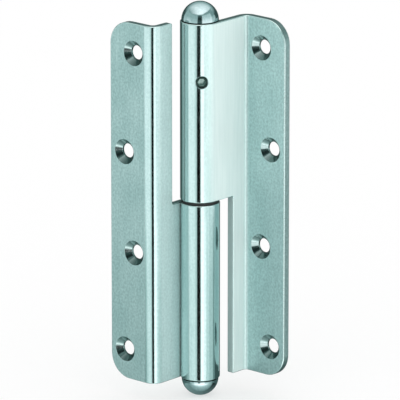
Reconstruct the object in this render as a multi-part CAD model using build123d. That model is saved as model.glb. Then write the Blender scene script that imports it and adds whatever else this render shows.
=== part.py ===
"""Cranked lift-off door hinge: two rolled and folded steel leaves on one pin.

The frame leaf carries the lower knuckle and the door leaf the upper one. Each leaf is one
strip of sheet: its edge is rolled round the pin, the web leaves the roll as a tangent, and
a right-angle bend turns it into the flange that takes the screws. A set screw locks the pin
in the door leaf, and the pin turns in the frame leaf and lifts out of it upwards.

Lengths are in millimetres. Z runs up the pin, the origin is on the pin axis at mid height,
the frame leaf lies towards -X and the door leaf towards +X.
"""
import os
from math import asin, degrees, radians, sqrt, tan

from build123d import *

# Sheet and leaves: a reach is measured from the pin axis
leaf_height = 140.0
sheet = 3.0
web_reach = 20.8
flange_reach = 26.8
bend_inner_radius = 1.5
flange_corner_radius = 9.0
notch_clearance = 2.9
notch_corner_radius = 0.8

# Pin and the knuckles rolled round it
pin_diameter = 9.0
pin_clearance = 0.08
pin_chamfer = 0.8
pin_end_gap = 0.5
seam_gap = 0.25

# Thrust washer between the knuckles
washer_thickness = 1.15
washer_play = 0.05
washer_recess = 0.5

# Domed caps pressed into the two ends
cap_step = 0.5
cap_neck = 0.3
cap_spigot_length = 6.0
cap_spigot_clearance = 0.02
cap_spigot_chamfer = 0.5

# Countersunk screw holes, staggered in two columns set from the free edge of the flange
hole_count = 4
hole_pitch = 39.0
hole_diameter = 5.5
countersink_diameter = 9.6
countersink_angle = 90.0
outer_column_inset = 7.1
inner_column_inset = 11.8

# Set screw that locks the pin, its angle taken round the pin from the face of the web
set_screw_diameter = 4.4
set_screw_clearance = 0.05
set_screw_drop = 22.3
set_screw_angle = 43.0
set_screw_recess = 0.7
set_screw_seat_depth = 1.1
set_screw_tip_chamfer = 0.4
set_screw_socket = 2.5
set_screw_socket_depth = 1.7
set_screw_hole_chamfer = 0.15

# Worked out from the sizes above
pin_radius = pin_diameter / 2
bore_radius = pin_radius + pin_clearance
knuckle_radius = bore_radius + sheet
bend_outer_radius = bend_inner_radius + sheet
notch_reach = knuckle_radius + notch_clearance
leaf_top = leaf_height / 2
knuckle_end = (washer_thickness + washer_play) / 2
cap_radius = knuckle_radius - cap_step
spigot_radius = bore_radius - cap_spigot_clearance
set_screw_radius = set_screw_diameter / 2
set_screw_hole_radius = set_screw_radius + set_screw_clearance
set_screw_seat = pin_radius - set_screw_seat_depth
base = (Align.CENTER, Align.CENTER, Align.MIN)


def leaf_profile():
    """Plan of the frame leaf: the roll round the pin, the web, the bend and the flange."""
    seam_angle = 180 - degrees(asin((bore_radius - seam_gap) / knuckle_radius))
    roll_sweep = seam_angle - 450
    web_end = bend_outer_radius - web_reach
    flange_start = bore_radius + bend_outer_radius
    flange_back = sheet - web_reach
    with BuildSketch() as profile:
        with BuildLine():
            CenterArc((0, 0), bore_radius, 90, roll_sweep)
            Line((0, bore_radius), (web_end, bore_radius))
            CenterArc((web_end, flange_start), bend_outer_radius, 270, -90)
            Polyline(
                (-web_reach, flange_start),
                (-web_reach, flange_reach),
                (flange_back, flange_reach),
                (flange_back, flange_start),
            )
            CenterArc((web_end, flange_start), bend_inner_radius, 180, 90)
            Line((web_end, knuckle_radius), (0, knuckle_radius))
            CenterArc((0, 0), knuckle_radius, 90, roll_sweep)
            seam = Vector(1, 0).rotate(Axis.Z, seam_angle)
            Line(seam * bore_radius, seam * knuckle_radius)
        make_face()
    return profile.sketch


def leaf_blank():
    """Frame leaf before drilling, notched above its knuckle to clear the other one."""
    blank = Pos(0, 0, -leaf_top) * extrude(leaf_profile(), leaf_height)
    notch_width = notch_reach + 2 * knuckle_radius
    notch = Box(
        notch_width, 4 * knuckle_radius, leaf_height,
        align=(Align.MIN, Align.CENTER, Align.MIN),
    )
    blank -= Pos(-notch_reach, 0, -knuckle_end) * notch
    flange_corners = blank.edges().filter_by(Axis.X).group_by(Axis.Y)[-1]
    blank = fillet(flange_corners, flange_corner_radius)
    notch_corners = [
        edge for edge in blank.edges().filter_by(Axis.Y)
        if abs(edge.center().X + notch_reach) < notch_corner_radius / 2
    ]
    return fillet(notch_corners, notch_corner_radius)


def hole_places():
    """Distance from the pin axis and height of each screw hole, from the top one down."""
    insets = (inner_column_inset, outer_column_inset)
    top_row = hole_pitch * (hole_count - 1) / 2
    for row in range(hole_count):
        yield flange_reach - insets[row % 2], top_row - row * hole_pitch


def countersunk_cutter():
    """One screw hole running along +X from its countersink at X = 0."""
    depth = (countersink_diameter - hole_diameter) / 2 / tan(radians(countersink_angle / 2))
    shank = Cylinder(hole_diameter / 2, sheet, align=base)
    head = Cone(countersink_diameter / 2, hole_diameter / 2, depth, align=base)
    return Rot(0, 90, 0) * (shank + head)


def set_screw_axis():
    """Places a tool on the set screw's line: Z points outwards, zero on the pin axis."""
    height = leaf_top - set_screw_drop
    outwards = Vector(0, -1, 0).rotate(Axis.Z, -set_screw_angle)
    return Plane(origin=(0, 0, height), x_dir=(0, 0, 1), z_dir=outwards)


def set_screw_hole():
    """Hole through the wall of the upper knuckle, with its rim lightly countersunk."""
    hole = Cylinder(set_screw_hole_radius, 2 * knuckle_radius, align=base)
    lowest_rim = sqrt(knuckle_radius**2 - set_screw_hole_radius**2)
    rim_depth = knuckle_radius - lowest_rim + set_screw_hole_chamfer
    rim = Cone(set_screw_hole_radius, set_screw_hole_radius + rim_depth, rim_depth, align=base)
    return set_screw_axis() * (hole + Pos(0, 0, lowest_rim - set_screw_hole_chamfer) * rim)


def frame_leaf():
    """Leaf with the lower knuckle, countersunk on the outer face of its flange."""
    leaf = leaf_blank()
    for reach, height in hole_places():
        leaf -= Pos(-web_reach, reach, height) * countersunk_cutter()
    return leaf


def door_leaf():
    """Leaf with the upper knuckle, countersunk on the inner face of its flange."""
    leaf = Rot(0, 0, 180) * mirror(leaf_blank(), about=Plane.XY)
    for reach, height in hole_places():
        leaf -= Pos(web_reach - sheet, -reach, height) * countersunk_cutter()
    return leaf - set_screw_hole()


def hinge_pin():
    """Straight turned pin with a drilled seat for the tip of the set screw."""
    length = leaf_height - 2 * (cap_spigot_length + pin_end_gap)
    pin = Cylinder(pin_radius, length)
    pin = chamfer(pin.edges().filter_by(GeomType.CIRCLE), pin_chamfer)
    seat = Cylinder(set_screw_hole_radius, 2 * pin_radius, align=base)
    return pin - set_screw_axis() * Pos(0, 0, set_screw_seat) * seat


def set_screw():
    """Headless screw that stands on its seat in the pin, with a hexagon socket outside."""
    length = knuckle_radius - set_screw_recess - set_screw_seat
    screw = Cylinder(set_screw_radius, length, align=base)
    screw = chamfer(screw.edges().group_by(Axis.Z)[0], set_screw_tip_chamfer)
    hexagon = RegularPolygon(set_screw_socket / 2, 6, major_radius=False)
    socket = extrude(hexagon, set_screw_socket_depth)
    screw -= Pos(0, 0, length - set_screw_socket_depth) * socket
    return set_screw_axis() * Pos(0, 0, set_screw_seat) * screw


def thrust_washer():
    """Flat ring on the lower knuckle, which carries the weight of the door."""
    ring = Circle(knuckle_radius - washer_recess) - Circle(bore_radius)
    return Pos(0, 0, -knuckle_end) * extrude(ring, washer_thickness)


def domed_cap():
    """Turned cap on the top of the upper knuckle: a dome, a short neck and a spigot."""
    with BuildSketch(Plane.XZ) as section:
        with BuildLine():
            Polyline(
                (0, cap_neck + cap_radius),
                (0, -cap_spigot_length),
                (spigot_radius - cap_spigot_chamfer, -cap_spigot_length),
                (spigot_radius, cap_spigot_chamfer - cap_spigot_length),
                (spigot_radius, 0),
                (cap_radius, 0),
                (cap_radius, cap_neck),
            )
            CenterArc((0, cap_neck), cap_radius, 0, 90)
        make_face()
    return Pos(0, 0, leaf_top) * revolve(section.sketch, Axis.Z)


upper_cap = domed_cap()
nodes = {
    "frame_leaf": frame_leaf(),
    "door_leaf": door_leaf(),
    "hinge_pin": hinge_pin(),
    "set_screw": set_screw(),
    "thrust_washer": thrust_washer(),
    "upper_cap": upper_cap,
    "lower_cap": mirror(upper_cap, about=Plane.XY),
}
os.makedirs("parts", exist_ok=True)
for name, solid in nodes.items():
    export_step(solid, f"parts/{name}.step")
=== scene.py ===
from math import asin, atan2, cos, pi, radians, sin, sqrt

import bmesh
import bpy
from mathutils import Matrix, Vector
from mathutils.geometry import delaunay_2d_cdt


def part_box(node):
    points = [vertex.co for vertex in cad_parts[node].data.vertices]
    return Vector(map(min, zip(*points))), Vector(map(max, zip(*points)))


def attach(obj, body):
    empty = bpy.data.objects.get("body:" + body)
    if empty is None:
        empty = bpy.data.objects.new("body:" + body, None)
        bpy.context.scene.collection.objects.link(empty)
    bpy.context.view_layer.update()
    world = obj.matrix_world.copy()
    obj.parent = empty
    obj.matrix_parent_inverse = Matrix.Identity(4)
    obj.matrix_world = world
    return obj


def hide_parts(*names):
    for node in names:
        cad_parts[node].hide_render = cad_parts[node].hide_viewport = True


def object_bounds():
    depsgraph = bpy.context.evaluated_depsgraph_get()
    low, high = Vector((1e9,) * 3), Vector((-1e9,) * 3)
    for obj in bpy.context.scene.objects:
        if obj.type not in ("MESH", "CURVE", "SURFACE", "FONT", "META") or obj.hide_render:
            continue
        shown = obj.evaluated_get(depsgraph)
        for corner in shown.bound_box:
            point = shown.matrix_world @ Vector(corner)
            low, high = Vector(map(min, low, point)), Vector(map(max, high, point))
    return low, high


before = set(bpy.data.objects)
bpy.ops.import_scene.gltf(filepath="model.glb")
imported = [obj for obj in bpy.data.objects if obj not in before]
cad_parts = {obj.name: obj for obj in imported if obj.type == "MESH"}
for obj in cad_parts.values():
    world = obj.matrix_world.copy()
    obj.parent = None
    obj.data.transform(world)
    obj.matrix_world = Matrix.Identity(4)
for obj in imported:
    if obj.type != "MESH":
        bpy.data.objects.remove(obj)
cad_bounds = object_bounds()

# Frame leaf: one strip of 3 mm cold-rolled steel, punched and countersunk flat, then rolled
# round the pin to make the lower knuckle and folded at a right angle into its screw flange.
# It is electroplated with zinc after forming, which leaves it satin and faintly blue-green.
mm = 0.001
leaf_low, leaf_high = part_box("frame_leaf")
leaf_top = leaf_high.z
web_reach = -leaf_low.x
flange_reach = leaf_high.y
knuckle_radius = leaf_high.x
sheet = 3.0 * mm
bore_radius = knuckle_radius - sheet
middle_radius = knuckle_radius - sheet / 2
bend_radius = 3.0 * mm
bend_tail = 4.5 * mm
knuckle_end = -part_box("thrust_washer")[0].z
seam_gap = 0.25 * mm
notch_reach = knuckle_radius + 2.9 * mm
notch_corner = 0.8 * mm
small_corner = 0.6 * mm
flange_corner = 9.0 * mm
edge_round = 0.36 * mm
hole_radius = 2.75 * mm
countersink_radius = 4.8 * mm
hole_edge_break = 0.1 * mm
hole_points = 64
screw_rows = 4
screw_pitch = 39.0 * mm
screw_insets = (11.8 * mm, 7.1 * mm)

# Length along the middle of the strip, from its end in the knuckle to the flange's free edge
seam_angle = pi - asin((bore_radius - seam_gap) / knuckle_radius)
roll_start = seam_angle - 2 * pi
roll_length = (pi / 2 - roll_start) * middle_radius
bend_centre = (bend_tail - web_reach, bore_radius + bend_tail)
web_length = web_reach - bend_tail
bend_start = roll_length + web_length
bend_length = bend_radius * pi / 2
flange_start = bend_start + bend_length
strip_length = flange_start + flange_reach - bend_centre[1]

# Where the forming tools rub the strip smooth: the roll's polish fades out along the web, and
# the bend's sets in over its first third, ends on the flange and is weaker on its inside
polish_fade = 4.0 * mm
flange_fade = 0.6 * mm
bend_rub_start = 0.35
inside_rub = 0.3

# How much painted light and painted shade the plating gets, and how much darker its sheared cut
# edges are, from 0 to 1
painted_light_off_polish = 0.83
back_painted_light = 0.7
drilled_painted_light, drilled_painted_shade, drilled_up_painted_shade = 0.3, 0.42, 0.55
edge_rub, edge_painted_highlight = 0.8, 0.8
cut_painted_light, cut_dark, cut_end_painted_shade = 0.75, 0.2, 0.55


def formed(along, height, depth, normal):
    """Place and normal on the formed leaf of a point of the flat strip."""
    if along < roll_length:
        angle = roll_start + along / middle_radius
        out = Vector((cos(angle), sin(angle), 0))
        way = Vector((-sin(angle), cos(angle), 0))
        place = out * (middle_radius + depth)
    elif along < bend_start:
        out, way = Vector((0, 1, 0)), Vector((-1, 0, 0))
        place = Vector((roll_length - along, middle_radius + depth, 0))
    elif along < flange_start:
        angle = 1.5 * pi - (along - bend_start) / bend_radius
        out = Vector((-cos(angle), -sin(angle), 0))
        way = Vector((sin(angle), -cos(angle), 0))
        place = Vector((*bend_centre, 0)) - out * (bend_radius - depth)
    else:
        out, way = Vector((1, 0, 0)), Vector((0, 1, 0))
        place = Vector((depth + sheet / 2 - web_reach, bend_centre[1] + along - flange_start, 0))
    place.z = height
    return place, way * normal[0] + Vector((0, 0, normal[1])) + out * normal[2]


def ruled_lines():
    """Lengths along the strip where it is divided so that its bends come out round."""
    roll_steps, bend_steps = 102, 18
    lines = [roll_length * step / roll_steps for step in range(roll_steps + 1)]
    lines += [bend_start + bend_length * step / bend_steps for step in range(bend_steps + 1)]
    return sorted(lines + [flange_start + flange_fade])


def worked(along, depth):
    """1 where the forming tools have rubbed the strip smooth, 0 where it stayed flat."""
    rolled = (roll_length - along) / polish_fade
    onto_bend = (along - bend_start) / (bend_rub_start * bend_length)
    off_bend = 1 - (along - flange_start) / flange_fade
    bent = min(1, onto_bend, off_bend)
    return min(1, max(0, rolled, bent if depth < 0 else inside_rub * bent))


def painted_light_reach(along):
    """1 as far as the fold, where painted light may go, and 0 on the flange."""
    return min(1, max(0, (flange_start - along) / bend_length))


def finish(along, depth, normal, kind, front, painted_lightening):
    """How rubbed the plating is at a point of the flat strip, and its painted light and painted
    shade.

    The kind is "rim" on the rounded cut edge, "drilled" in a hole, and empty on the faces.
    The front is 1 if the leaf shows its face of positive depth, and -1 if it shows the other.
    """
    rubbed = worked(along, depth)
    # Holes: some painted light, and painted shade that is deepest on the walls that face up.
    if kind == "drilled":
        facing_up = max(0, normal[1] * -front)
        return 1.0, drilled_painted_light, drilled_painted_shade + drilled_up_painted_shade * facing_up
    # Rounded cut edges: polished, with a painted highlight.
    if kind == "rim" and abs(normal[2]) > 0.01:
        return max(edge_rub, rubbed), edge_painted_highlight, 0.0
    # Flat cut edges: darker where sheared, painted shade on the ends that face up and down, and
    # painted light on the ends along the strip as far as the fold.
    if kind == "rim":
        painted_light = cut_painted_light * painted_light_reach(along) * abs(normal[0])
        return 0.0, painted_light, cut_dark + cut_end_painted_shade * abs(normal[1])
    # Backs of the web and flange: painted light where they aren't polished.
    if along > roll_length and depth * front < 0:
        return rubbed, back_painted_light * (1 - rubbed), 0.0
    # Faces: painted light on the front of the web, less where polished.
    return rubbed, painted_lightening * painted_light_reach(along) * (1 - painted_light_off_polish * rubbed), 0.0


def outline(corners, lines):
    """Points of a rounded outline, each with its outward normal.

    Its corners are given as (along, height, radius).
    """
    points = []
    steps = 10
    for number, (along, height, radius) in enumerate(corners):
        corner = Vector((along, height))
        before = (corner - Vector(corners[number - 1][:2])).normalized()
        after = (Vector(corners[(number + 1) % len(corners)][:2]) - corner).normalized()
        turn = before.x * after.y - before.y * after.x
        side = 1 if turn > 0 else -1
        centre = corner - before * radius + side * radius * Vector((-before.y, before.x))
        first = atan2(-side * before.x, side * before.y)
        for step in range(steps + 1):
            angle = first + side * pi / 2 * step / steps
            spoke = Vector((cos(angle), sin(angle)))
            points.append((centre + spoke * radius, spoke * side))
    filled = []
    for number, (place, normal) in enumerate(points):
        filled.append((place, normal))
        following = points[(number + 1) % len(points)]
        run = following[0] - place
        if abs(run.y) < 1e-9 and abs(run.x) > 1e-9:
            between = [x for x in lines if 1e-7 < (x - place.x) / run.x < 1 - 1e-7]
            between.sort(reverse=run.x < 0)
            filled += [(Vector((x, place.y)), normal) for x in between]
    return filled


def edge_rings(points):
    """Rings of the strip's rounded cut edge, from one face to the other."""
    steps = 4
    rings = []
    for side in (1, -1):
        for step in range(steps + 1):
            angle = pi / 2 * (step / steps if side > 0 else 1 - step / steps)
            inset = edge_round * (1 - sin(angle))
            depth = side * (sheet / 2 - edge_round * (1 - cos(angle)))
            rings.append([
                ((p.x - inset * n.x, p.y - inset * n.y, depth),
                 (n.x * sin(angle), n.y * sin(angle), side * cos(angle)))
                for p, n in points[::-1]
            ])
    return rings


def countersunk_rings(along, height, face):
    """Rings of one countersunk hole, from the strip's first face to its other one."""
    surface = sheet / 2
    cone_foot = surface - (countersink_radius - hole_radius)
    half = sqrt(0.5)
    steps = [
        (countersink_radius + hole_edge_break, surface, 0, 1),
        (countersink_radius, surface - hole_edge_break / 2, -half, half),
        (hole_radius + hole_edge_break, cone_foot + hole_edge_break, -half, half),
        (hole_radius, cone_foot - hole_edge_break, -1, 0),
        (hole_radius, 2 * hole_edge_break - surface, -1, 0),
        (hole_radius + 2 * hole_edge_break, -surface, 0, -1),
    ]
    if face < 0:
        steps.reverse()
    return [
        [((along + radius * cos(a), height + radius * sin(a), face * depth),
          (lean * cos(a), lean * sin(a), face * up))
         for a in (2 * pi * point / hole_points for point in range(hole_points))]
        for radius, depth, lean, up in steps
    ]


def encloses(loop, point):
    """True if the point lies inside the closed loop of points."""
    inside = False
    for a, b in zip(loop, loop[1:] + loop[:1]):
        if (a.y > point.y) != (b.y > point.y):
            if point.x < a.x + (b.x - a.x) * (point.y - a.y) / (b.y - a.y):
                inside = not inside
    return inside


def strip_mesh(name, outer, holes, fillers, lines, turned, painted_lightening):
    """Mesh of a whole leaf. Turned leaves are carried through the origin to the other side.

    The fillers are the (along, height, reach) of the holes on the roll, round which the mesh
    is closer so that it stays round, and the last argument says how much painted light the
    front of the web gets.
    """
    filler_steps = 16
    hole_share = 0.62
    places, normals, faces = [], [], []
    painted = {"worked": [], "painted_light": [], "dark": []}
    front = 1 if turned else -1

    def add(place, normal, kind=""):
        along, height, depth = place
        position, direction = formed(along, height, depth, normal)
        places.append(-position if turned else position)
        normals.append(-direction if turned else direction)
        look = finish(along, depth, normal, kind, front, painted_lightening)
        for values, value in zip(painted.values(), look):
            values.append(value)
        return len(places) - 1

    loops = []
    for rings in [outer] + holes:
        kind = "rim" if rings is outer else "drilled"
        kinds = ["", *[kind] * (len(rings) - 2), ""]
        ids = [
            [add(place, normal, ring_kind) for place, normal in ring]
            for ring, ring_kind in zip(rings, kinds)
        ]
        for one, two in zip(ids, ids[1:]):
            count = len(one)
            for a in range(count):
                b = (a + 1) % count
                faces.append((one[a], one[b], two[b], two[a]))
        loops.append((ids, rings))
    for end, face in ((0, 1), (-1, -1)):
        flat, known, edges = [], [], []
        for ids, rings in loops:
            start = len(flat)
            flat += [Vector(place[:2]) for place, normal in rings[end]]
            known += ids[end]
            count = len(rings[end])
            edges += [(start + a, start + (a + 1) % count) for a in range(count)]
        rim = {}
        for number, point in enumerate(flat[:len(outer[end])]):
            rim.setdefault(round(point.x / mm, 5), []).append(number)
        for line in lines:
            ends = rim.get(round(line / mm, 5), [])
            if len(ends) == 2 and not any(abs(line - x) < reach for x, y, reach in fillers):
                edges.append(tuple(ends))
        for x, y, reach in fillers:
            near = [line for line in lines if abs(line - x) < reach]
            for line in near:
                ends = sorted(rim[round(line / mm, 5)], key=lambda number: flat[number].y)
                edge_points = []
                for step in range(-filler_steps, filler_steps + 1):
                    height = y + reach * step / filler_steps
                    if (line - x) ** 2 + (height - y) ** 2 > (hole_share * reach) ** 2:
                        edge_points.append(len(flat))
                        flat.append(Vector((line, height)))
                        known.append(add((line, height, face * sheet / 2), (0, 0, face)))
                edges.append((ends[0], edge_points[0]))
                edges.append((edge_points[-1], ends[1]))
                for a, b in zip(edge_points, edge_points[1:]):
                    if flat[b].y - flat[a].y < 1.5 * reach / filler_steps:
                        edges.append((a, b))
        found = delaunay_2d_cdt(flat, edges, [], 1, 1e-9)
        original = [sources[0] for sources in found[3]]
        rims = [[Vector(place[:2]) for place, normal in rings[end]] for ids, rings in loops[1:]]
        for triangle in found[2]:
            middle = sum((found[0][v] for v in triangle), Vector((0, 0))) / 3
            if not any(encloses(rim, middle) for rim in rims):
                corner = [known[original[v]] for v in triangle]
                faces.append(corner if face > 0 else corner[::-1])
    if turned:
        faces = [tuple(reversed(face)) for face in faces]
    mesh = bpy.data.meshes.new(name)
    mesh.from_pydata(places, [], faces)
    mesh.polygons.foreach_set("use_smooth", [True] * len(mesh.polygons))
    mesh.normals_split_custom_set_from_vertices([n.normalized() for n in normals])
    for kind, values in painted.items():
        paint(mesh, kind, values)
    return mesh


def paint(mesh, kind, values):
    """Paints one value on each point of a mesh, which the steel's finish reads."""
    mesh.attributes.new(kind, "FLOAT", "POINT").data.foreach_set("value", values)


def plated_steel(name, dull, painted_light, flat_roughness, worked_roughness, painted_light_matting=0.0):
    """Zinc-plated steel: drawn faintly along the pin by rolling, clouded by the plating bath.

    Three values painted on the mesh say where it is worked, so rubbed smooth and even, where
    it is lightened towards a lighter colour as painted light, and where it is darkened: a little
    on the sheared cut edges, and more as painted shade. The last argument is the share of its
    metal shine that a place fully under painted light loses. A mesh that isn't painted reads as 0.
    """
    material = bpy.data.materials.new(name)
    material.use_nodes = True
    nodes, links = material.node_tree.nodes, material.node_tree.links
    shader = nodes["Principled BSDF"]
    place = nodes.new("ShaderNodeTexCoord")

    def noise(scale, stretch, detail):
        mapping = nodes.new("ShaderNodeMapping")
        mapping.inputs["Scale"].default_value = (1, 1, stretch)
        links.new(place.outputs["Object"], mapping.inputs["Vector"])
        texture = nodes.new("ShaderNodeTexNoise")
        texture.inputs["Scale"].default_value = scale
        texture.inputs["Detail"].default_value = detail
        links.new(mapping.outputs["Vector"], texture.inputs["Vector"])
        return texture.outputs["Fac"]

    def spread(value, start, end, low, high):
        remap = nodes.new("ShaderNodeMapRange")
        limits = {"From Min": start, "From Max": end, "To Min": low, "To Max": high}
        for socket, number in limits.items():
            remap.inputs[socket].default_value = number
        links.new(value, remap.inputs["Value"])
        return remap.outputs["Result"]

    def combine(operation, one, two):
        result = nodes.new("ShaderNodeMath")
        result.operation = operation
        links.new(one, result.inputs[0])
        links.new(two, result.inputs[1])
        return result.outputs["Value"]

    def painted(kind):
        value = nodes.new("ShaderNodeAttribute")
        value.attribute_name = kind
        return value.outputs["Fac"]

    def blend(kind, factor, one, two):
        mix = nodes.new("ShaderNodeMix")
        mix.data_type, mix.blend_type = "RGBA", kind
        links.new(factor, mix.inputs["Factor"])
        for socket, colour in (("A", one), ("B", two)):
            if isinstance(colour, tuple):
                mix.inputs[socket].default_value = (*colour, 1)
            else:
                links.new(colour, mix.inputs[socket])
        return mix.outputs["Result"]

    # Clouds of about 11 mm, grains of under 1 mm, and lines 1 mm wide and 20 mm long
    cloud = noise(90, 0.6, 4)
    grain = noise(1300, 0.8, 3)
    draw_lines = noise(900, 0.05, 3)
    fineness = spread(painted("worked"), 0, 1, 1, 0.3)
    speckle = combine("MULTIPLY", spread(grain, 0.35, 0.65, -0.5, 0.5), fineness)
    plating = blend("MULTIPLY", spread(speckle, -0.5, 0.5, 0, 1), dull, (0.74, 0.79, 0.79))
    plating = blend("MULTIPLY", spread(cloud, 0.3, 0.7, 0, 1), plating, (0.90, 0.93, 0.93))
    # Painted light: a lighter colour mixed in where the mesh is painted with it.
    plating = blend("MIX", painted("painted_light"), plating, painted_light)
    plating = blend("MULTIPLY", spread(draw_lines, 0.35, 0.65, 0, 1), plating, (0.93, 0.95, 0.95))
    # Painted shade: a near-black mixed in where the mesh is painted dark.
    plating = blend("MULTIPLY", painted("dark"), plating, (0.05, 0.09, 0.08))
    links.new(plating, shader.inputs["Base Color"])
    shader.inputs["Metallic"].default_value = 1.0
    # Where painted light lies, the steel loses part of its metal shine.
    if painted_light_matting:
        painted_lightening = combine("SUBTRACT", painted("painted_light"), painted("worked"))
        links.new(spread(painted_lightening, 0, 1, 1, 1 - painted_light_matting), shader.inputs["Metallic"])
    roughness = spread(painted("worked"), 0, 1, flat_roughness, worked_roughness)
    variation = spread(cloud, 0.3, 0.7, 0.9, 1.1)
    links.new(combine("MULTIPLY", roughness, variation), shader.inputs["Roughness"])
    bump = nodes.new("ShaderNodeBump")
    bump.inputs["Strength"].default_value = 0.5
    bump.inputs["Distance"].default_value = 0.012 * mm
    links.new(combine("ADD", draw_lines, grain), bump.inputs["Height"])
    links.new(bump.outputs["Normal"], shader.inputs["Normal"])
    return material


def add_piece(name, mesh, material, body, slot, *replaced):
    """Puts one finished piece on its body in place of the plain solids."""
    piece = bpy.data.objects.new(name, mesh)
    bpy.context.scene.collection.objects.link(piece)
    mesh.materials.append(material)
    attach(piece, body)
    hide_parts(*replaced)
    return piece


leaf_outline = outline([
    (0, -leaf_top, small_corner),
    (strip_length, -leaf_top, flange_corner),
    (strip_length, leaf_top, flange_corner),
    (roll_length + notch_reach, leaf_top, small_corner),
    (roll_length + notch_reach, -knuckle_end, notch_corner),
    (0, -knuckle_end, small_corner),
], ruled_lines())
screw_holes = [
    (strip_length - screw_insets[row % 2], screw_pitch * ((screw_rows - 1) / 2 - row))
    for row in range(screw_rows)
]
# The second colour is painted light, mixed in where the leaves are painted with it: a little on
# the frame leaf's web, fully on the door leaf's.
zinc_blue_green, zinc_painted_light = (0.655, 0.825, 0.82), (0.86, 1.0, 0.98)
leaf_steel = plated_steel("zinc_plated_sheet", zinc_blue_green, zinc_painted_light, 0.52, 0.13, 0.85)
frame_mesh = strip_mesh(
    "frame_leaf_sheet", edge_rings(leaf_outline),
    [countersunk_rings(along, height, -1) for along, height in screw_holes],
    fillers=[], lines=ruled_lines(), turned=False, painted_lightening=0.35,
)
add_piece("frame_leaf_sheet", frame_mesh, leaf_steel, "frame_side", "plated_sheet", "frame_leaf")

# Door leaf: the same strip turned end for end, so that its knuckle is the upper one. It is
# countersunk on the inner face of its fold, and a hole for the set screw is drilled and
# tapped through the front of its knuckle.
set_screw_hole_radius = 2.25 * mm
set_screw_rim = 0.15 * mm
set_screw_surround = 2.4 * set_screw_hole_radius
set_screw_low, set_screw_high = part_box("set_screw")
set_screw_height = (set_screw_low.z + set_screw_high.z) / 2
set_screw_way = atan2(set_screw_low.y + set_screw_high.y, set_screw_low.x + set_screw_high.x)


def set_screw_rings():
    """Rings of the round hole through the knuckle's wall, as they lie on the flat strip.

    They come with the hole's place, and how far round it the mesh is closer.
    """
    angle = (set_screw_way + pi - roll_start) % (2 * pi)
    along = angle * middle_radius
    surface = sheet / 2
    steps = [
        (set_screw_hole_radius + 2.2 * set_screw_rim, surface, 0, 1),
        (set_screw_hole_radius + 1.6 * set_screw_rim, surface - 0.05 * mm, -0.7, 0.7),
        (set_screw_hole_radius, surface - 1.4 * set_screw_rim, -0.8, 0.6),
        (set_screw_hole_radius, surface - 2.0 * set_screw_rim, -1, 0),
        (set_screw_hole_radius, -surface, -1, 0),
    ]
    rings = []
    for radius, depth, lean, up in steps:
        level = middle_radius + depth
        ring = []
        for point in range(hole_points):
            a = 2 * pi * point / hole_points
            across = asin(radius * cos(a) / level) * middle_radius
            ring.append((
                (along + across, -set_screw_height + radius * sin(a), depth),
                (lean * cos(a), lean * sin(a), up),
            ))
        rings.append(ring)
    return rings, (along, -set_screw_height, set_screw_surround)


screw_rings, screw_filler = set_screw_rings()
# Its web gets the full painted light, the frame leaf's only a little.
door_mesh = strip_mesh(
    "door_leaf_sheet", edge_rings(leaf_outline),
    [countersunk_rings(along, -height, 1) for along, height in screw_holes] + [screw_rings],
    fillers=[screw_filler], lines=ruled_lines(), turned=True, painted_lightening=1.0,
)
add_piece("door_leaf_sheet", door_mesh, leaf_steel, "door_side", "plated_sheet", "door_leaf")

# Thrust washer: a thin black polymer ring that lies on the lower knuckle and carries the
# weight of the door. Only its edge shows, set back in the gap between the knuckles.
washer_low, washer_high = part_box("thrust_washer")
washer_round = 0.1 * mm
ring_points = 96


def turned_mesh(name, profile, place=None):
    """Mesh of a turned piece from (radius, height) points, up its outside from axis to axis.

    A point may carry a number of flats as a third value: its ring is then that polygon. A
    profile that doesn't start on the axis is a ring's section, and is closed.
    """
    places, rings, faces = [], [], []
    for radius, height, *flats in profile:
        start = len(places)
        count = ring_points if radius > 0 else 1
        for point in range(count):
            angle = 2 * pi * point / ring_points
            reach = radius
            if flats:
                sector = 2 * pi / flats[0]
                reach = radius / cos(angle % sector - sector / 2)
            places.append(Vector((reach * cos(angle), reach * sin(angle), height)))
        rings.append([start + point % count for point in range(ring_points)])
    pairs = list(zip(rings, rings[1:]))
    if profile[0][0] > 0:
        pairs.append((rings[-1], rings[0]))
    for low, high in pairs:
        for point in range(ring_points):
            after = (point + 1) % ring_points
            corners = (low[point], low[after], high[after], high[point])
            faces.append(tuple(dict.fromkeys(corners)))
    if place:
        places = [place(point) for point in places]
    mesh = bpy.data.meshes.new(name)
    mesh.from_pydata(places, [], faces)
    solid = bmesh.new()
    solid.from_mesh(mesh)
    bmesh.ops.recalc_face_normals(solid, faces=solid.faces)
    solid.to_mesh(mesh)
    solid.free()
    mesh.shade_smooth()
    mesh.set_sharp_from_angle(angle=radians(40))
    return mesh


washer_polymer = bpy.data.materials.new("washer_polymer")
washer_polymer.use_nodes = True
washer_nodes, washer_links = washer_polymer.node_tree.nodes, washer_polymer.node_tree.links
washer_shader = washer_nodes["Principled BSDF"]
washer_speck = washer_nodes.new("ShaderNodeTexNoise")
washer_speck.inputs["Scale"].default_value = 2500
washer_ramp = washer_nodes.new("ShaderNodeValToRGB")
washer_ramp.color_ramp.elements[0].color = (0.008, 0.009, 0.009, 1)
washer_ramp.color_ramp.elements[1].color = (0.02, 0.022, 0.022, 1)
washer_links.new(washer_speck.outputs["Fac"], washer_ramp.inputs["Fac"])
washer_links.new(washer_ramp.outputs["Color"], washer_shader.inputs["Base Color"])
washer_shader.inputs["Roughness"].default_value = 0.6
washer_mesh = turned_mesh("thrust_washer_ring", [
    (bore_radius, washer_low.z),
    (washer_high.x - washer_round, washer_low.z),
    (washer_high.x, washer_low.z + washer_round),
    (washer_high.x, washer_high.z - washer_round),
    (washer_high.x - washer_round, washer_high.z),
    (bore_radius, washer_high.z),
])
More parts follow.
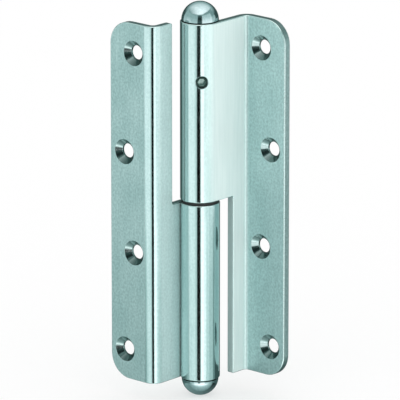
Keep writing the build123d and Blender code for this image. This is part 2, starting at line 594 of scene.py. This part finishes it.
add_piece(
    "thrust_washer_ring", washer_mesh, washer_polymer, "washer", "washer_plastic", "thrust_washer",
)

# Hinge pin: a straight ground steel pin, chamfered at both ends. It is locked in the upper
# knuckle and turns in the lower one, so it only shows when the door is lifted off.
pin_low, pin_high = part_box("hinge_pin")
pin_radius = pin_high.x
pin_chamfer = 0.8 * mm
ground_grey = (0.52, 0.53, 0.54)
pin_steel = plated_steel("ground_pin_steel", ground_grey, ground_grey, 0.22, 0.22)
pin_mesh = turned_mesh("hinge_pin_turned", [
    (0, pin_low.z),
    (pin_radius - pin_chamfer, pin_low.z),
    (pin_radius, pin_low.z + pin_chamfer),
    (pin_radius, pin_high.z - pin_chamfer),
    (pin_radius - pin_chamfer, pin_high.z),
    (0, pin_high.z),
])
add_piece("hinge_pin_turned", pin_mesh, pin_steel, "door_side", "pin_steel", "hinge_pin")

# Set screw: a small headless screw with a hexagon socket, driven down on the pin through
# the front of the upper knuckle until its end is just under the surface.
screw_radius = 2.2 * mm
screw_recess = 0.7 * mm
screw_seat = pin_radius - 1.1 * mm
screw_edge = 0.25 * mm
socket_flat = 1.25 * mm
socket_depth = 1.7 * mm
socket_edge = 0.12 * mm
screw_end = knuckle_radius - screw_recess
screw_out = Vector((cos(set_screw_way), sin(set_screw_way), 0))
screw_side = Vector((-sin(set_screw_way), cos(set_screw_way), 0))


def on_screw(point):
    """Carries a point from the upright screw to the screw's own line."""
    return screw_out * point.z + screw_side * point.x + Vector((0, 0, set_screw_height + point.y))


screw_green = (0.50, 0.64, 0.60)
screw_steel = plated_steel("set_screw_steel", screw_green, screw_green, 0.35, 0.35)
screw_mesh = turned_mesh("set_screw_socketed", [
    (0, screw_seat),
    (screw_radius - 2 * screw_edge, screw_seat),
    (screw_radius, screw_seat + 2 * screw_edge),
    (screw_radius, screw_end - screw_edge),
    (screw_radius - screw_edge, screw_end),
    (socket_flat + socket_edge, screw_end, 6),
    (socket_flat, screw_end - socket_edge, 6),
    (socket_flat, screw_end - socket_depth, 6),
    (0, screw_end - socket_depth),
], on_screw)
# Painted shade: the screw's outside and its end face round the socket are painted nearly black,
# for the shade in the hole round it, while the socket stays bare steel.
screw_painted_shade = 0.95
unshaded_points = 2 * ring_points + 1  # the walls and the bottom of the socket, which come last
shaded_points = len(screw_mesh.vertices) - unshaded_points
paint(screw_mesh, "dark", [screw_painted_shade] * shaded_points + [0.0] * unshaded_points)
add_piece("set_screw_socketed", screw_mesh, screw_steel, "door_side", "screw_steel", "set_screw")

# Domed caps: turned steel plugs, polished on the dome and zinc plated, pressed into the open
# ends of the two knuckles so that only the dome and its narrow neck stand out.
cap_low, cap_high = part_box("upper_cap")
cap_radius = cap_high.x
dome_centre = cap_high.z - cap_radius
spigot_radius = bore_radius - 0.02 * mm
spigot_chamfer = 0.5 * mm
cap_seam = 0.5 * mm
cap_undercut = 0.5 * mm
dome_foot = leaf_top + 0.9 * cap_seam
dome_steps = 32
cap_profile = [
    (0, cap_low.z),
    (spigot_radius - spigot_chamfer, cap_low.z),
    (spigot_radius, cap_low.z + spigot_chamfer),
    (spigot_radius, leaf_top),
    (cap_radius - cap_undercut, leaf_top),
    (cap_radius - cap_undercut, leaf_top + 0.85 * cap_seam),
    (cap_radius, leaf_top + cap_seam),
]
for step in range(1, dome_steps):
    dome_angle = pi / 2 * step / dome_steps
    cap_profile.append((cap_radius * cos(dome_angle), dome_centre + cap_radius * sin(dome_angle)))
cap_profile.append((0, cap_high.z))
cap_zinc = (0.68, 0.80, 0.82)
cap_steel = plated_steel("zinc_plated_cap", cap_zinc, cap_zinc, 0.12, 0.12)
for name, side, body in (("upper_cap", 1, "door_side"), ("lower_cap", -1, "frame_side")):
    cap_mesh = turned_mesh(name + "_dome", [(radius, side * z) for radius, z in cap_profile])
    heights = [abs(point.co.z) for point in cap_mesh.vertices]
    # Painted shadow: the neck and spigot below the dome's foot are painted dark, for the shade in
    # the seam between cap and knuckle.
    paint(cap_mesh, "dark", [1.0 if height < dome_foot else 0.0 for height in heights])
    paint(cap_mesh, "worked", [1.0] * len(heights))
    add_piece(name + "_dome", cap_mesh, cap_steel, body, "plated_cap", name)

# Camera: a long lens without shift, looking slightly down on the hinge from its front left.
# The aim is how far its middle line passes the origin, to the right and up.
camera_azimuth, camera_elevation = radians(-48.1), radians(15.86)
camera_distance = 2.0
focal_pixels = 5277
picture_pixels = 400
aim_right, aim_up = -0.034 * mm, -0.14 * mm
camera_data = bpy.data.cameras.new("camera")
camera = bpy.data.objects.new("camera", camera_data)
bpy.context.scene.collection.objects.link(camera)
bpy.context.scene.camera = camera
camera_data.lens = camera_data.sensor_width * focal_pixels / picture_pixels
camera_data.clip_start, camera_data.clip_end = 0.1, 20
back = Vector((
    sin(camera_azimuth) * cos(camera_elevation),
    -cos(camera_azimuth) * cos(camera_elevation),
    sin(camera_elevation),
))
right = Vector((cos(camera_azimuth), sin(camera_azimuth), 0))
up = back.cross(right)
camera.location = back * camera_distance + right * aim_right + up * aim_up
camera.rotation_mode = "QUATERNION"
camera.rotation_quaternion = back.to_track_quat("Z", "Y")

# Floor and backdrop: a plain white sheet that the hinge stands on, in front of plain white.
# The sheet keeps part of the hinge's soft shadow. It stays out of the mirror images in the
# metal, which show the cards of the studio instead.
floor_size = 6.0
plain_white_share = 0.55


def stage_object(name, places, faces, material):
    """Adds an object that isn't part of the hinge."""
    mesh = bpy.data.meshes.new(name)
    mesh.from_pydata(places, [], faces)
    mesh.materials.append(material)
    thing = bpy.data.objects.new(name, mesh)
    bpy.context.scene.collection.objects.link(thing)
    return thing


paper = bpy.data.materials.new("white_paper")
paper.use_nodes = True
paper.node_tree.nodes.clear()
paper_nodes, paper_links = paper.node_tree.nodes, paper.node_tree.links
paper_surface = paper_nodes.new("ShaderNodeBsdfDiffuse")
paper_surface.inputs["Color"].default_value = (1, 1, 1, 1)
paper_white = paper_nodes.new("ShaderNodeEmission")
paper_white.inputs["Color"].default_value = (1, 1, 1, 1)
seen_by = paper_nodes.new("ShaderNodeLightPath")
seen = seen_by.outputs["Is Camera Ray"]
for other in ("Is Glossy Ray", "Is Transmission Ray"):
    either = paper_nodes.new("ShaderNodeMath")
    either.operation = "MAXIMUM"
    paper_links.new(seen, either.inputs[0])
    paper_links.new(seen_by.outputs[other], either.inputs[1])
    seen = either.outputs["Value"]
paper_share = paper_nodes.new("ShaderNodeMath")
paper_share.operation = "MULTIPLY"
paper_share.inputs[1].default_value = plain_white_share
paper_links.new(seen, paper_share.inputs[0])
paper_mix = paper_nodes.new("ShaderNodeMixShader")
paper_links.new(paper_share.outputs["Value"], paper_mix.inputs["Fac"])
paper_links.new(paper_surface.outputs["BSDF"], paper_mix.inputs[1])
paper_links.new(paper_white.outputs["Emission"], paper_mix.inputs[2])
paper_output = paper_nodes.new("ShaderNodeOutputMaterial")
paper_links.new(paper_mix.outputs["Shader"], paper_output.inputs["Surface"])
half_floor, floor_level = floor_size / 2, cad_bounds[0].z
floor_corners = [
    (x * half_floor, y * half_floor, floor_level)
    for x, y in ((-1, -1), (1, -1), (1, 1), (-1, 1))
]
floor = stage_object("floor", floor_corners, [(0, 1, 2, 3)], paper)
floor.visible_glossy = False
world = bpy.data.worlds.new("white_backdrop")
bpy.context.scene.world = world
world.use_nodes = True
backdrop = world.node_tree.nodes["Background"]
backdrop.inputs["Color"].default_value = (1, 1, 1, 1)

# Studio: soft boxes and grey cards stand in rings round the hinge, with a soft box overhead
# and a grey table below. They only show in the metal. The white backdrop lights all the rest.
tent_radius = 0.45
table_height, ceiling_height, overhead_height = -0.33, 0.41, 0.40
card_step = 3.0
soft_edge = 1.5
card_strength = 1.35


def card_material():
    """Even light, as bright as the card's own points say. 1 is a little over plain white."""
    material = bpy.data.materials.new("card_glow")
    material.use_nodes = True
    nodes, links = material.node_tree.nodes, material.node_tree.links
    nodes.clear()
    glow = nodes.new("ShaderNodeAttribute")
    glow.attribute_name = "glow"
    lamp = nodes.new("ShaderNodeEmission")
    lamp.inputs["Strength"].default_value = card_strength
    output = nodes.new("ShaderNodeOutputMaterial")
    links.new(glow.outputs["Color"], lamp.inputs["Color"])
    links.new(lamp.outputs["Emission"], output.inputs["Surface"])
    return material


def shade(glow):
    """Colour of a card of that brightness. The dimmer ones are cooler."""
    return (glow * min(1, 0.55 + 0.45 * glow), glow, glow * min(1, 0.95 + 0.05 * glow), 1)


def card(name, places, faces, glows):
    """One card or soft box, with the brightness of each of its points."""
    thing = stage_object(name, places, faces, card_glow)
    colours = thing.data.attributes.new("glow", "FLOAT_COLOR", "POINT")
    for number, glow in enumerate(glows):
        colours.data[number].color = shade(glow)
    thing.visible_camera = False
    thing.visible_diffuse = False
    thing.visible_shadow = False
    return thing


def ring_of_cards(name, low, high, cards):
    """Cards side by side round the hinge, from the back leftwards and round by the front.

    Each is given by the turn where it ends, the brightness of its low edge and of its high
    edge. Turns are in degrees from the camera, to the right of it where positive, and heights
    are in metres from the middle of the hinge. Where two cards meet, one fades into the other.
    """
    posts = []
    first = -180
    for last, low_glow, high_glow in cards:
        steps = max(1, round((last - first - 2 * soft_edge) / card_step))
        for step in range(steps + 1):
            turn = first + soft_edge + (last - first - 2 * soft_edge) * step / steps
            posts.append((turn, low_glow, high_glow))
        first = last
    places, glows = [], []
    for turn, low_glow, high_glow in posts:
        angle = camera_azimuth + radians(turn)
        for height, glow in ((low, low_glow), (high, high_glow)):
            places.append((tent_radius * sin(angle), -tent_radius * cos(angle), height))
            glows.append(glow)
    count = len(places)
    faces = [(n, n + 1, (n + 3) % count, (n + 2) % count) for n in range(0, count, 2)]
    return card(name, places, faces, glows)


def level_card(name, height, glows, outline_points, faces=((0, 1, 2, 3),)):
    """Flat card above or below the hinge, from points to the right and towards the camera."""
    places = [
        right * across + towards_camera * near + Vector((0, 0, height))
        for across, near in outline_points
    ]
    return card(name, places, faces, glows)


card_glow = card_material()
towards_camera = Vector((sin(camera_azimuth), -cos(camera_azimuth), 0))
ring_of_cards("ring_table", table_height, -0.23, [
    (-125, 0.12, 0.12), (-92, 0.12, 0.12), (-66, 0.15, 0.2), (-40, 0.4, 0.5), (-14, 0.9, 0.9),
    (2, 0.6, 0.0), (30, 1.1, 1.1), (60, 0.6, 0.6), (80, 0.4, 0.4), (95, 0.2, 0.2), (180, 0.1, 0.1),
])
ring_of_cards("ring_foot", -0.23, -0.13, [
    (-125, 0.1, 0.1), (-92, 0.1, 0.22), (-80, 0.22, 0.5), (-66, 0.38, 0.75), (-48, 0.7, 0.9),
    (-28, 0.8, 0.85), (-18, 0.7, 0.7), (4, 0.0, 0.0), (22, 1.3, 1.3), (36, 1.0, 1.1),
    (54, 0.65, 0.8), (80, 0.5, 0.65), (95, 0.2, 0.35), (180, 0.08, 0.08),
])
ring_of_cards("ring_knuckle", -0.13, -0.03, [
    (-125, 0.08, 0.08), (-105, 0.3, 0.4), (-92, 0.5, 0.75), (-80, 0.75, 1.0), (-30, 0.9, 0.9),
    (-19, 0.7, 0.7), (3, 0.0, 0.0), (22, 1.2, 1.2), (60, 0.87, 0.87), (92, 0.95, 1.0),
    (130, 0.12, 0.12), (180, 0.07, 0.07),
])
ring_of_cards("ring_head", -0.03, 0.20, [
    (-120, 0.07, 0.07), (-90, 0.65, 0.4), (-60, 0.8, 0.5), (-16, 0.65, 0.45), (13, 0.12, 0.02),
    (80, 1.1, 0.75), (110, 0.7, 0.4), (180, 0.07, 0.07),
])
ring_of_cards("ring_high", 0.20, ceiling_height, [
    (-120, 0.15, 0.5), (-16, 0.45, 0.4), (13, 0.02, 0.1), (80, 0.7, 0.55), (110, 0.3, 0.3),
    (180, 0.15, 0.5),
])
for table_part, glows, far, near in (
    ("table_near", [0.2, 0.25, 0.6, 0.4], 0, 0.2),
    ("table_front", [0.4, 0.6, 2.1, 1.7], 0.2, tent_radius),
    ("table_far", [0.35, 0.0, 0.0, 0.35], -tent_radius, 0),
):
    level_card(table_part, table_height, glows, [
        (-tent_radius, far), (tent_radius, far), (tent_radius, near), (-tent_radius, near),
    ])
level_card("ceiling", ceiling_height, [0.3] * 4, [
    (-tent_radius, -tent_radius), (tent_radius, -tent_radius),
    (tent_radius, tent_radius), (-tent_radius, tent_radius),
])
overhead_points = [
    (0.02, 0.15), (-0.44, 0.14), (-0.09, 0.37), (0.12, 0.33), (0.28, 0.09), (0.40, -0.44),
    (-0.44, -0.44),
]
overhead_fan = [(0, 1, 2), (0, 2, 3), (0, 3, 4), (0, 4, 5), (0, 5, 6), (0, 6, 1)]
overhead_glows = [1.15, 0.3, 1.1, 1.1, 0.9, 0.4, 0.3]
level_card("soft_box_overhead", overhead_height, overhead_glows, overhead_points, overhead_fan)

bpy.context.scene.view_settings.view_transform = "Standard"
